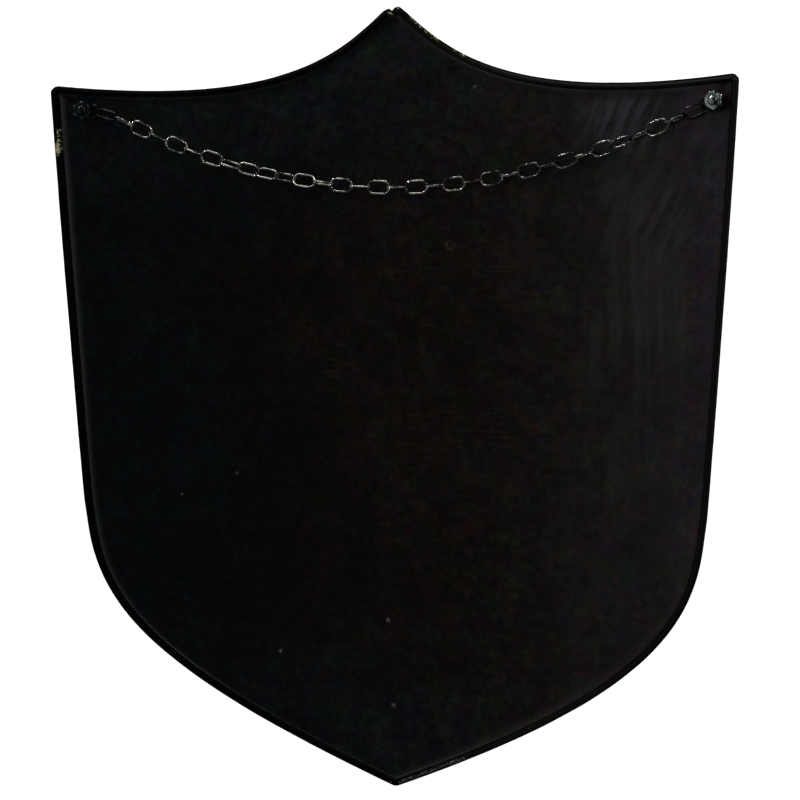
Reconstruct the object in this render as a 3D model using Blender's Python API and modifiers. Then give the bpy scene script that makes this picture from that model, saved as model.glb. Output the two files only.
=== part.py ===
"""Heater shield of sheet metal, lying on its front so that its hollow back and hanging chain show.

Metres. The back faces +Z and the apex points to +Y. The origin is on the surface that the shield lies on, under
the middle of its outline.
"""
import math

import bmesh
import bpy
from mathutils import Matrix, Vector

# Clearance kept between pieces that touch in the real shield
GAP = 0.0003

# Outline, seen from the back, to where the edges would meet if the corners weren't rounded. A shoulder is where
# a side turns in towards the tip, and its tuck is how far it has come in by then.
WIDTH = 0.527
HEIGHT = 0.6081
CORNER_DROP = 0.0617
SHOULDER_TUCK = 0.0205
SHOULDER_DROP = 0.3871

# How steeply each edge leaves its ends, and how far it keeps that way before it bends
APEX_ANGLE = math.radians(42.9)
APEX_PULL = 0.0526
CORNER_ANGLE = math.radians(5.6)
CORNER_PULL = 0.1846
SIDE_ANGLE = math.radians(2.5)
SIDE_PULL = 0.084
SHOULDER_ANGLE = math.radians(8.1)
SHOULDER_PULL_UP = 0.010
SHOULDER_PULL_DOWN = 0.048
TIP_ANGLE = math.radians(22.0)
TIP_PULL = 0.261

# The sheet, its bow from side to side, and the flat strip down the middle of its front that it rests on
SHEET = 0.0015
BOW_DEPTH = 0.040
FLAT_WIDTH = 0.030

# The dished border, and the edge rolled over to the back
BORDER_WIDTH = 0.0095
BORDER_RISE = 0.0030
BEAD_RADIUS = 0.0030
BEAD_LIFT = 0.0012
# Bend of the rolled edge at a corner, in radii of the roll: a roll can't turn tighter than its own radius
CORNER_BEND = 1.2
# The apex is blunter than the other corners
APEX_ROUND = 0.0150
# Least rounding of the lines inside a corner, as a share of the outermost one's
LEAST_ROUND = 0.2
# Most of the straight piece beside a corner that the rounding may take
ROUND_REACH = 0.95

# Bolts and nuts near the top corners, both a little to the right of where they would be even
HANGER_INSET = 0.0185
HANGER_SHIFT = 0.0034
HANGER_DROP = 0.0192
BOLT_DIAMETER = 0.00635
BOLT_CHAMFER = 0.0006
BOLT_END = 0.0014
HEAD_DIAMETER = 0.0150
HEAD_HEIGHT = 0.0036
NUT_ACROSS_FLATS = 0.0127
NUT_HEIGHT = 0.0056
NUT_CHAMFER_ANGLE = math.radians(30.0)

# Chain: outer length of a link, its wire, the ease of its bow around a bolt, and how far the middle falls
LINK_LENGTH = 0.01833
LINK_WIRE = 0.0016
LINK_EASE = 0.0008
CHAIN_SAG = 0.060
# How full the chain's curve is on each side of its middle: 2 is a parabola
LEFT_FALL = 2.0
RIGHT_FALL = 1.85
# The left nut pins its link nearly level, which lifts the chain beside it: the most lift, and how far along it is
PINNED_LIFT = 0.0062
PINNED_REACH = 0.027
# Links over which the chain climbs from the sheet at a bolt to its own height
CHAIN_CLIMB = 1.3
# Quarter turns of twist, from link to link: at the first bolt, left of the middle, and counted back from the last
FIRST_TURN = (0.0, 2.25)
MIDDLE_TURN = (6.0, 14.0)
LATE_TURN = (6.0, 4.0)
LAST_TURN = (2.0, 0.0)

# Steps that the curves are cut into, and the finer ones that they are measured with
FINE_STEPS = 200
TOP_STEPS = 18
SIDE_STEPS = 5
FLANK_STEPS = 14
ROUND_STEPS = 4
BOW_STEP = 0.022
COVE_STEPS = 2
TURN_STEPS = 16
CHAMFER_STEPS = 24
BOW_END_STEPS = 5
BEAD_RESOLUTION = 2
WIRE_RESOLUTION = 1
HALVINGS = 40
# Points closer than this are one point, and faces that meet at less than this angle are shaded as one round face
MERGE = 0.00001
SMOOTH_ANGLE = math.radians(40.0)
# How far a cutter reaches, in thicknesses of what it cuts
CUT_REACH = 3.0

# Sizes that follow from those above
HALF_WIDTH = WIDTH / 2
FLAT_HALF = FLAT_WIDTH / 2
BOW_RADIUS = ((HALF_WIDTH - FLAT_HALF) ** 2 + BOW_DEPTH ** 2) / (2 * BOW_DEPTH)
CORNER_ROUND = BEAD_RADIUS * (1.0 + CORNER_BEND)
HANGER_X = HALF_WIDTH - HANGER_INSET
BOLT_RADIUS = BOLT_DIAMETER / 2
NUT_CORNER = NUT_ACROSS_FLATS / math.sqrt(3.0)
LINK_WIDTH = BOLT_DIAMETER + 2 * LINK_EASE + 2 * LINK_WIRE
PITCH = LINK_LENGTH - 2 * LINK_WIRE - GAP
CHAIN_LIFT = LINK_WIDTH / 2 + GAP
END_LIFT = LINK_WIRE
HOOK = BOLT_RADIUS + GAP / 2


def curve_points(start, first_pull, second_pull, end, steps):
    """Evenly spaced points along one smooth edge, without its last one."""
    fine = []
    for step in range(FINE_STEPS + 1):
        t = step / FINE_STEPS
        s = 1.0 - t
        fine.append(s ** 3 * start + 3 * s * s * t * first_pull + 3 * s * t * t * second_pull + t ** 3 * end)
    lengths = [(after - before).length for before, after in zip(fine, fine[1:])]
    spacing = sum(lengths) / steps
    points = []
    travelled = 0.0
    for before, after, length in zip(fine, fine[1:], lengths):
        while len(points) < steps and len(points) * spacing <= travelled + length:
            share = (len(points) * spacing - travelled) / length
            points.append(before.lerp(after, share))
        travelled += length
    return points


def sharp_outline():
    """The outline clockwise from the apex, and the rounding of those of its points that are corners."""
    apex = Vector((0.0, 0.0))
    corner = Vector((HALF_WIDTH, -CORNER_DROP))
    shoulder = Vector((HALF_WIDTH - SHOULDER_TUCK, -SHOULDER_DROP))
    tip = Vector((0.0, -HEIGHT))
    from_apex = apex + APEX_PULL * Vector((math.cos(APEX_ANGLE), -math.sin(APEX_ANGLE)))
    to_corner = corner - CORNER_PULL * Vector((math.cos(CORNER_ANGLE), math.sin(CORNER_ANGLE)))
    down_side = corner - SIDE_PULL * Vector((math.sin(SIDE_ANGLE), math.cos(SIDE_ANGLE)))
    shoulder_way = Vector((math.sin(SHOULDER_ANGLE), math.cos(SHOULDER_ANGLE)))
    to_tip = tip + TIP_PULL * Vector((math.cos(TIP_ANGLE), math.sin(TIP_ANGLE)))
    half = curve_points(apex, from_apex, to_corner, corner, TOP_STEPS)
    half += curve_points(corner, down_side, shoulder + SHOULDER_PULL_UP * shoulder_way, shoulder, SIDE_STEPS)
    half += curve_points(shoulder, shoulder - SHOULDER_PULL_DOWN * shoulder_way, to_tip, tip, FLANK_STEPS)
    other_half = [Vector((-point.x, point.y)) for point in reversed(half[1:])]
    corners = {index: CORNER_ROUND for index in (TOP_STEPS, len(half), 2 * len(half) - TOP_STEPS)}
    corners[0] = APEX_ROUND
    return half + [tip] + other_half, corners


def inset(points, distance):
    """A clockwise outline moved inwards by a distance, with mitred corners."""
    moved = []
    for index, point in enumerate(points):
        before = (point - points[index - 1]).normalized()
        after = (points[(index + 1) % len(points)] - point).normalized()
        inward = Vector((before.y + after.y, -before.x - after.x)).normalized()
        mitre = inward.dot(Vector((after.y, -after.x)))
        moved.append(point + inward * (distance / mitre))
    return moved


def rounded(points, corners):
    """The outline with an arc of its own radius in place of each corner."""
    result = []
    for index, point in enumerate(points):
        if index not in corners:
            result.append(point)
            continue
        back = points[index - 1] - point
        ahead = points[(index + 1) % len(points)] - point
        half_angle = back.angle(ahead) / 2
        room = ROUND_REACH * min(back.length, ahead.length)
        radius = min(corners[index], room * math.tan(half_angle))
        centre = point + (back.normalized() + ahead.normalized()).normalized() * (radius / math.sin(half_angle))
        start = point + back.normalized() * (radius / math.tan(half_angle)) - centre
        sweep = math.pi - 2 * half_angle
        for step in range(ROUND_STEPS + 1):
            turn = Matrix.Rotation(-sweep * step / ROUND_STEPS, 2)
            result.append(centre + turn @ start)
    return result


SHARP, CORNERS = sharp_outline()
OUTER = rounded(SHARP, CORNERS)
MIDDLE_Y = (max(point.y for point in OUTER) + min(point.y for point in OUTER)) / 2
HANGER_Y = -CORNER_DROP - HANGER_DROP - MIDDLE_Y


def ring(distance):
    """The outline at a distance inside the outer edge, about the origin."""
    corners = {index: max(radius - distance, radius * LEAST_ROUND) for index, radius in CORNERS.items()}
    points = rounded(inset(SHARP, distance), corners)
    return [Vector((point.x, point.y - MIDDLE_Y)) for point in points]


def bow_angle(x):
    """How far the sheet leans at a distance from its middle line."""
    reach = max(abs(x) - FLAT_HALF, 0.0)
    return math.copysign(math.asin(reach / BOW_RADIUS), x)


def front_height(x):
    """Height of the sheet's front face over the surface that it lies on."""
    return BOW_RADIUS * (1.0 - math.cos(bow_angle(x)))


def sheet_point(x, y, lift):
    """A point over the sheet's front face, out along the way that the face leans."""
    angle = bow_angle(x)
    return Vector((x - lift * math.sin(angle), y, front_height(x) + lift * math.cos(angle)))


def bolt_x(side):
    """Where across the shield a bolt goes through it."""
    return side * HANGER_X + HANGER_SHIFT


def material(name, colour, roughness, metallic):
    """A finish of one colour."""
    finish = bpy.data.materials.new(name)
    finish.use_nodes = True
    shader = finish.node_tree.nodes["Principled BSDF"]
    shader.inputs["Base Color"].default_value = (*colour, 1.0)
    shader.inputs["Roughness"].default_value = roughness
    shader.inputs["Metallic"].default_value = metallic
    return finish


def place(name, mesh, collection, finish=None):
    """An object with its own finish in a collection."""
    piece = bpy.data.objects.new(name, mesh)
    collection.objects.link(piece)
    if finish is not None and not mesh.materials:
        mesh.materials.append(finish)
    return piece


def finish_bmesh(name, shape, smooth=False):
    """A mesh from a bmesh, shaded smooth where it is round."""
    mesh = bpy.data.meshes.new(name)
    bmesh.ops.recalc_face_normals(shape, faces=shape.faces)
    shape.to_mesh(mesh)
    shape.free()
    if smooth:
        mesh.shade_smooth()
        mesh.set_sharp_from_angle(angle=SMOOTH_ANGLE)
    return mesh


def tube_mesh(name, points, radius, resolution):
    """A closed wire along a ring of points, as a mesh."""
    curve = bpy.data.curves.new(name, "CURVE")
    curve.dimensions = "3D"
    curve.twist_mode = "Z_UP"
    curve.bevel_depth = radius
    curve.bevel_resolution = resolution
    curve.render_resolution_u = 0
    spline = curve.splines.new("POLY")
    spline.points.add(len(points) - 1)
    for control, point in zip(spline.points, points):
        control.co = (*point, 1.0)
    spline.use_cyclic_u = True
    wire = bpy.data.objects.new(name, curve)
    bpy.context.scene.collection.objects.link(wire)
    bpy.context.view_layer.update()
    mesh = bpy.data.meshes.new_from_object(wire.evaluated_get(bpy.context.evaluated_depsgraph_get()))
    bpy.data.objects.remove(wire)
    bpy.data.curves.remove(curve)
    shape = bmesh.new()
    shape.from_mesh(mesh)
    bpy.data.meshes.remove(mesh)
    bmesh.ops.remove_doubles(shape, verts=shape.verts, dist=MERGE)
    return finish_bmesh(name, shape, smooth=True)


def turned(name, profile, collection, finish, steps):
    """A turned piece from a profile of (radius, height) points, top to bottom."""
    mesh = bpy.data.meshes.new(name)
    points = [(radius, 0.0, height) for radius, height in profile]
    mesh.from_pydata(points, [(index, index + 1) for index in range(len(points) - 1)], [])
    piece = place(name, mesh, collection, finish)
    screw = piece.modifiers.new("Turn", "SCREW")
    screw.axis = "Z"
    screw.angle = 2 * math.pi
    screw.steps = steps
    screw.render_steps = steps
    screw.use_merge_vertices = True
    screw.merge_threshold = MERGE
    screw.use_smooth_shade = True
    return piece


def combine(piece, cutter, operation):
    """A Boolean of two pieces, the second kept out of the model."""
    cutter.hide_render = True
    cutter.display_type = "WIRE"
    modifier = piece.modifiers.new(operation.title(), "BOOLEAN")
    modifier.operation = operation
    modifier.solver = "EXACT"
    modifier.object = cutter
    return modifier


def bow_stations():
    """Distances from the middle line where the sheet is allowed to bend."""
    count = math.ceil((HALF_WIDTH - FLAT_HALF) / BOW_STEP)
    step = (HALF_WIDTH - FLAT_HALF) / count
    return [side * (FLAT_HALF + step * index) for side in (-1, 1) for index in range(count)]


def sheet_mesh():
    """The sheet's front face: the bowed field and the cove that lifts its border to the back."""
    shape = bmesh.new()
    rings = []
    for step in range(COVE_STEPS + 1):
        share = step / COVE_STEPS
        rise = BORDER_RISE * (1.0 - share) ** 2
        line = ring(BEAD_RADIUS + BORDER_WIDTH * share)
        rings.append([shape.verts.new((point.x, point.y, rise)) for point in line])
    for outer, inner in zip(rings, rings[1:]):
        for index in range(len(outer)):
            following = (index + 1) % len(outer)
            shape.faces.new((outer[index], inner[index], inner[following], outer[following]))
    shape.faces.new(rings[-1][::-1])
    for x in bow_stations():
        everything = shape.verts[:] + shape.edges[:] + shape.faces[:]
        bmesh.ops.bisect_plane(shape, geom=everything, dist=GAP, plane_co=(x, 0.0, 0.0), plane_no=(1.0, 0.0, 0.0))
    for vertex in shape.verts:
        vertex.co.z += front_height(vertex.co.x)
    mesh = bpy.data.meshes.new("shield_plate")
    shape.to_mesh(mesh)
    shape.free()
    return mesh


def bolt_cutter(name, thickness, cutters):
    """A cutter for the hole that a bolt takes through a thickness of metal."""
    shape = bmesh.new()
    bmesh.ops.create_cone(shape, cap_ends=True, segments=TURN_STEPS, radius1=BOLT_RADIUS + GAP,
                          radius2=BOLT_RADIUS + GAP, depth=CUT_REACH * thickness)
    return place(name, finish_bmesh(name, shape), cutters)


def make_plate(model, cutters, finish):
    """The sheet with its rolled edge and its two bolt holes, as one solid."""
    plate = place("shield_plate", sheet_mesh(), model, finish)
    thickness = plate.modifiers.new("Thickness", "SOLIDIFY")
    thickness.thickness = SHEET
    thickness.offset = 1.0
    lift = BORDER_RISE + SHEET / 2 + BEAD_LIFT
    bead_line = [Vector((point.x, point.y, front_height(point.x) + lift)) for point in ring(BEAD_RADIUS)]
    bead = place("rolled_edge", tube_mesh("rolled_edge", bead_line, BEAD_RADIUS, BEAD_RESOLUTION), cutters)
    combine(plate, bead, "UNION")
    for side in (-1, 1):
        name = "left" if side < 0 else "right"
        hole = bolt_cutter("bolt_hole_" + name, SHEET, cutters)
        set_on_sheet(hole, side, SHEET / 2)
        combine(plate, hole, "DIFFERENCE")
    return plate


def set_on_sheet(piece, side, lift):
    """Places a piece square to the sheet where a bolt goes through."""
    piece.location = sheet_point(bolt_x(side), HANGER_Y, lift)
    piece.rotation_euler = (0.0, -bow_angle(bolt_x(side)), 0.0)


def joint_lift(joint, count):
    """How far over the back face a joint of the chain lies."""
    share = min(1.0, min(joint, count - joint) / CHAIN_CLIMB)
    return SHEET + END_LIFT + (CHAIN_LIFT - END_LIFT) * share


def nut_seat():
    """Height of a nut's underside over the back face, clear of the link that leans out under it."""
    climb = (CHAIN_LIFT - END_LIFT) * min(1.0, 1.0 / CHAIN_CLIMB)
    slope = climb / math.sqrt(PITCH ** 2 - climb ** 2)
    return END_LIFT + slope * (HOOK + NUT_CORNER) + LINK_WIRE / 2 / math.cos(math.atan(slope)) + 2 * GAP


def make_bolt(side, model, finish):
    """A bolt with a round head on the front and its end standing out of the nut."""
    top = SHEET + nut_seat() + NUT_HEIGHT + BOLT_END
    profile = [(0.0, top), (BOLT_RADIUS - BOLT_CHAMFER, top), (BOLT_RADIUS, top - BOLT_CHAMFER)]
    profile += [(BOLT_RADIUS, -GAP), (HEAD_DIAMETER / 2, -GAP)]
    for step in range(1, BOW_END_STEPS + 1):
        angle = math.pi / 2 * step / BOW_END_STEPS
        profile.append((HEAD_DIAMETER / 2 * math.cos(angle), -GAP - HEAD_HEIGHT * math.sin(angle)))
    profile[-1] = (0.0, -GAP - HEAD_HEIGHT)
    name = "hanger_bolt_left" if side < 0 else "hanger_bolt_right"
    bolt = turned(name, profile, model, finish, TURN_STEPS)
    set_on_sheet(bolt, side, 0.0)


def make_nut(side, model, cutters, finish):
    """A hexagon nut with its corners chamfered at both ends."""
    name = "hanger_nut_left" if side < 0 else "hanger_nut_right"
    shape = bmesh.new()
    bmesh.ops.create_cone(shape, cap_ends=True, segments=6, radius1=NUT_CORNER, radius2=NUT_CORNER,
                          depth=2 * NUT_HEIGHT)
    nut = place(name, finish_bmesh(name, shape), model, finish)
    washer_face = NUT_ACROSS_FLATS / 2 - GAP
    rim = NUT_CORNER + GAP
    drop = (rim - washer_face) * math.tan(NUT_CHAMFER_ANGLE)
    half = NUT_HEIGHT / 2
    profile = [(0.0, half), (washer_face, half), (rim, half - drop), (rim, drop - half), (washer_face, -half),
               (0.0, -half)]
    chamfer = turned(name + "_chamfer", profile, cutters, None, CHAMFER_STEPS)
    bore = bolt_cutter(name + "_bore", NUT_HEIGHT, cutters)
    for piece in (nut, chamfer, bore):
        set_on_sheet(piece, side, SHEET + nut_seat() + half)
    combine(nut, chamfer, "INTERSECT")
    combine(nut, bore, "DIFFERENCE")


def chain_point(sag, x, lift):
    """A point of the chain's path over the back face."""
    share = (x - HANGER_SHIFT) / HANGER_X
    fullness = LEFT_FALL if share < 0.0 else RIGHT_FALL
    along = (x - bolt_x(-1)) / PINNED_REACH
    pinned = PINNED_LIFT * along * math.exp(1.0 - along)
    return sheet_point(x, HANGER_Y - sag * (1.0 - abs(share) ** fullness) + pinned, lift)


def hooked(side, sag):
    """Where an end link hooks round its bolt, on the far side from where the chain pulls it."""
    x = bolt_x(side)
    pulled_to = chain_point(sag, x - side * (PITCH - HOOK), 0.0)
    away = (Vector((x, HANGER_Y)) - pulled_to.xy).normalized() * HOOK
    return sheet_point(x + away.x * math.cos(bow_angle(x)), HANGER_Y + away.y, SHEET + END_LIFT)


def lay_joints(sag, count):
    """Joints of the chain from left to right, each one pitch from the last."""
    joints = [hooked(-1, sag)]
    x = joints[0].x
    for joint in range(1, count + 1):
        near = x
        far = x + PITCH
        for _ in range(HALVINGS):
            x = (near + far) / 2
            point = chain_point(sag, x, joint_lift(joint, count))
            if (point - joints[-1]).length < PITCH:
                near = x
            else:
                far = x
        joints.append(point)
    return joints


def link_count():
    """Links that bring the chain nearest to its wanted fall."""
    start = hooked(-1, CHAIN_SAG).x
    reach = hooked(1, CHAIN_SAG).x - start
    places = [start + reach * step / FINE_STEPS for step in range(FINE_STEPS + 1)]
    samples = [chain_point(CHAIN_SAG, x, SHEET + CHAIN_LIFT) for x in places]
    length = sum((after - before).length for before, after in zip(samples, samples[1:]))
    return round(length / PITCH)


def chain_joints():
    """Joints of the chain, its fall found so that the last one meets the right bolt."""
    count = link_count()
    shallow = 0.0
    deep = 2 * CHAIN_SAG
    for _ in range(HALVINGS):
        sag = (shallow + deep) / 2
        joints = lay_joints(sag, count)
        if joints[-1].x > hooked(1, sag).x:
            shallow = sag
        else:
            deep = sag
    return joints


def turned_share(index, turn):
    """Share of a quarter turn that a link has made."""
    start, end = turn
    return min(1.0, max(0.0, (index - start) / (end - start)))


def link_roll(index, last):
    """How far a link is rolled about the chain: a right angle from its neighbour, and the chain's own twist.

    The middle twist is doubled where the count needs it for the last link to lie flat under its nut.
    """
    turns = turned_share(index, FIRST_TURN)
    turns += (1 + last % 2) * turned_share(index, MIDDLE_TURN)
    turns += turned_share(index, (last - LATE_TURN[0], last - LATE_TURN[1]))
    turns += turned_share(index, (last - LAST_TURN[0], last - LAST_TURN[1]))
    return math.pi / 2 * (index + turns)


def link_mesh(finish):
    """One wire link about its own middle, long in X and wide in Y."""
    bow = (LINK_WIDTH - LINK_WIRE) / 2
    straight = (LINK_LENGTH - LINK_WIRE) / 2 - bow
    points = []
    for end in (0, 1):
        for step in range(BOW_END_STEPS + 1):
            angle = -math.pi / 2 + math.pi * step / BOW_END_STEPS + math.pi * end
            centre = straight if end == 0 else -straight
            points.append(Vector((centre + bow * math.cos(angle), bow * math.sin(angle), 0.0)))
    mesh = tube_mesh("chain_link", points, LINK_WIRE / 2, WIRE_RESOLUTION)
    mesh.materials.append(finish)
    return mesh


def make_chain(model, finish):
    """The loose links, each threaded through the next."""
    mesh = link_mesh(finish)
    joints = chain_joints()
    last = len(joints) - 2
    for index, (start, end) in enumerate(zip(joints, joints[1:])):
        along = (end - start).normalized()
        middle = (start + end) / 2
        lean = bow_angle(middle.x)
        outward = Vector((-math.sin(lean), 0.0, math.cos(lean)))
        across = outward.cross(along).normalized()
        outward = along.cross(across)
        frame = Matrix((along, across, outward)).transposed().to_4x4()
        link = place(f"chain_link_{index:02d}", mesh, model)
        link.matrix_world = Matrix.Translation(middle) @ frame @ Matrix.Rotation(link_roll(index, last), 4, "X")


def main():
    for old in list(bpy.data.objects):
        bpy.data.objects.remove(old)
    model = bpy.data.collections.new("heater_shield")
    cutters = bpy.data.collections.new("cutters")
    for collection in (model, cutters):
        bpy.context.scene.collection.children.link(collection)
    black_paint = material("black_paint", (0.012, 0.0115, 0.0115), 0.5, 0.2)
    worn_steel = material("worn_steel", (0.30, 0.31, 0.29), 0.35, 1.0)
    chain_steel = material("chain_steel", (0.36, 0.35, 0.32), 0.38, 1.0)
    make_plate(model, cutters, black_paint)
    for side in (-1, 1):
        make_bolt(side, model, worn_steel)
        make_nut(side, model, cutters, worn_steel)
    make_chain(model, chain_steel)


main()
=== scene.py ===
"""Looks of the heater shield: black paint on an aged brass sheet, worn nuts and bolts, and a wire chain.

Metres. The shield lies on its front with its hollow back up, as its frame says: +Y points to the apex, and
+X to the right as the back is seen.
"""
import math
import random

import bmesh
import bpy
import numpy as np
from mathutils import Matrix, Vector, geometry, noise


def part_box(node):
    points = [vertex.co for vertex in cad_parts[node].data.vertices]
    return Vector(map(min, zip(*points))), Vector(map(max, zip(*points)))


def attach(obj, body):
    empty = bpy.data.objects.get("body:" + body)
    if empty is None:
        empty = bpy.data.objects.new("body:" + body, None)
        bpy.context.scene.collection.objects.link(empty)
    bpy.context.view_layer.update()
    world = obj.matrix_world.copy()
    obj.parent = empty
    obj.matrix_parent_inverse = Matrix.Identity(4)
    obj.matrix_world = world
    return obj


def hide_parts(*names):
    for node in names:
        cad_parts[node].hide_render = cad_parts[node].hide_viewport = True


# Outline, seen from the back, to where the edges would meet if the corners weren't rounded
WIDTH = 0.527
HEIGHT = 0.6081
CORNER_DROP = 0.0617
SHOULDER_WIDTH = 0.486
SHOULDER_DROP = 0.3871
APEX_ANGLE = math.radians(42.9)
APEX_PULL = 0.0526
CORNER_ANGLE = math.radians(5.6)
CORNER_PULL = 0.1846
SIDE_ANGLE = math.radians(2.5)
SIDE_PULL = 0.084
SHOULDER_ANGLE = math.radians(8.1)
SHOULDER_PULL_UP = 0.010
SHOULDER_PULL_DOWN = 0.048
TIP_ANGLE = math.radians(22.0)
TIP_PULL = 0.261

# The sheet, its bow, its dished border and its rolled edge
SHEET = 0.0015
BOW_DEPTH = 0.040
FLAT_HALF = 0.015
BORDER_WIDTH = 0.0095
BORDER_RISE = 0.0030
BEAD_RADIUS = 0.0030
BEAD_HEIGHT = BORDER_RISE + SHEET / 2 + 0.0012
CORNER_ROUND = 0.0066
APEX_ROUND = 0.0150
LEAST_ROUND = 0.2

# Bolts, nuts and chain
HANGER_X = WIDTH / 2 - 0.0185
HANGER_SHIFT = 0.0034
HANGER_DROP = 0.0192
BOLT_RADIUS = 0.003175
HOLE_RADIUS = BOLT_RADIUS + 0.0003
THREAD_PITCH = 0.00127
THREAD_DEPTH = 0.00055
NUT_FLAT = 0.00635
LINK_COUNT = 35
LINK_LENGTH = 0.01833
LINK_WIDTH = 0.01115
LINK_WIRE = 0.0016

# How finely the surfaces are cut
TOP_SAMPLES = 600
SIDE_SAMPLES = 400
FLANK_SAMPLES = 600
TOP_STATIONS = 120
SIDE_STATIONS = 250
APEX_STATIONS = 16
CORNER_STATIONS = 12
TIP_STATIONS = 5
FIELD_STEP = 0.0042
TURN_STEPS = 72

BOLT_X = (HANGER_SHIFT - HANGER_X, HANGER_SHIFT + HANGER_X)
BOW_RADIUS = ((WIDTH / 2 - FLAT_HALF) ** 2 + BOW_DEPTH ** 2) / (2 * BOW_DEPTH)
FIELD_INSET = BEAD_RADIUS + BORDER_WIDTH

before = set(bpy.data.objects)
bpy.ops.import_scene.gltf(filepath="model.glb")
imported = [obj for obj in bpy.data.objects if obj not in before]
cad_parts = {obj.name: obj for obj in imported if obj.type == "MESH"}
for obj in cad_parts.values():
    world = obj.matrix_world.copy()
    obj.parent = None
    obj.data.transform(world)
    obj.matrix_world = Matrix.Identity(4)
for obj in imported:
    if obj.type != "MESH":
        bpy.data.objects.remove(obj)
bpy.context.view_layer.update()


# The camera, which looks down on the back from a little to its right

CAMERA_PLACE = (0.38401, 0.141221, 1.55186)
CAMERA_RIGHT = Vector((0.97118, -0.00243, -0.23833))
CAMERA_UP = Vector((-0.01833, 0.99622, -0.08488))
LENS = 93.385


def make_camera():
    """The camera where the photograph was taken from."""
    right = CAMERA_RIGHT.normalized()
    up = (CAMERA_UP - right * CAMERA_UP.dot(right)).normalized()
    data = bpy.data.cameras.new("camera")
    data.lens = LENS
    camera = bpy.data.objects.new("camera", data)
    turned = Matrix((right, up, right.cross(up))).transposed().to_4x4()
    camera.matrix_world = Matrix.Translation(CAMERA_PLACE) @ turned
    bpy.context.scene.collection.objects.link(camera)
    bpy.context.scene.camera = camera


make_camera()


# Shader maths

# The colour sockets of a Mix node, and how soft the edge of a mark is as a share of its radius
MIX_COLOURS = (6, 7)
MIX_RESULT = 2
MARK_EDGE = 0.2


class Signal:
    """A number or a colour that changes over a surface of a finish."""

    def __init__(self, finish, socket):
        self.finish = finish
        self.socket = socket

    def maths(self, operation, first, second=0.0):
        """One Math node on signals or plain numbers."""
        return self.finish.node("ShaderNodeMath", {"operation": operation}, {0: first, 1: second})

    def __add__(self, other):
        return self.maths("ADD", self, other)

    __radd__ = __add__

    def __sub__(self, other):
        return self.maths("SUBTRACT", self, other)

    def __rsub__(self, other):
        return self.maths("SUBTRACT", other, self)

    def __mul__(self, other):
        return self.maths("MULTIPLY", self, other)

    __rmul__ = __mul__

    def __pow__(self, other):
        return self.maths("POWER", self, other)

    def highest(self, other):
        """The larger of two signals at each point."""
        return self.maths("MAXIMUM", self, other)

    def lowest(self, other):
        """The smaller of two signals at each point."""
        return self.maths("MINIMUM", self, other)

    def size(self):
        """The signal without its sign."""
        return self.maths("ABSOLUTE", self)

    def between(self, low, high):
        """0 below low, 1 above high and smooth between them; turned round where low is the larger."""
        ends = (0.0, 1.0) if low < high else (1.0, 0.0)
        sockets = {0: self, 1: min(low, high), 2: max(low, high), 3: ends[0], 4: ends[1]}
        return self.finish.node("ShaderNodeMapRange", {"interpolation_type": "SMOOTHSTEP"}, sockets)

    def within(self, start, full, last, end):
        """1 from full to last, and 0 below start and above end."""
        return self.between(start, full) * self.between(end, last)

    def parts(self):
        """The three parts of a place or a direction."""
        split = self.finish.node("ShaderNodeSeparateXYZ", {}, {0: self})
        return [Signal(self.finish, socket) for socket in split.socket.node.outputs]


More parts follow.
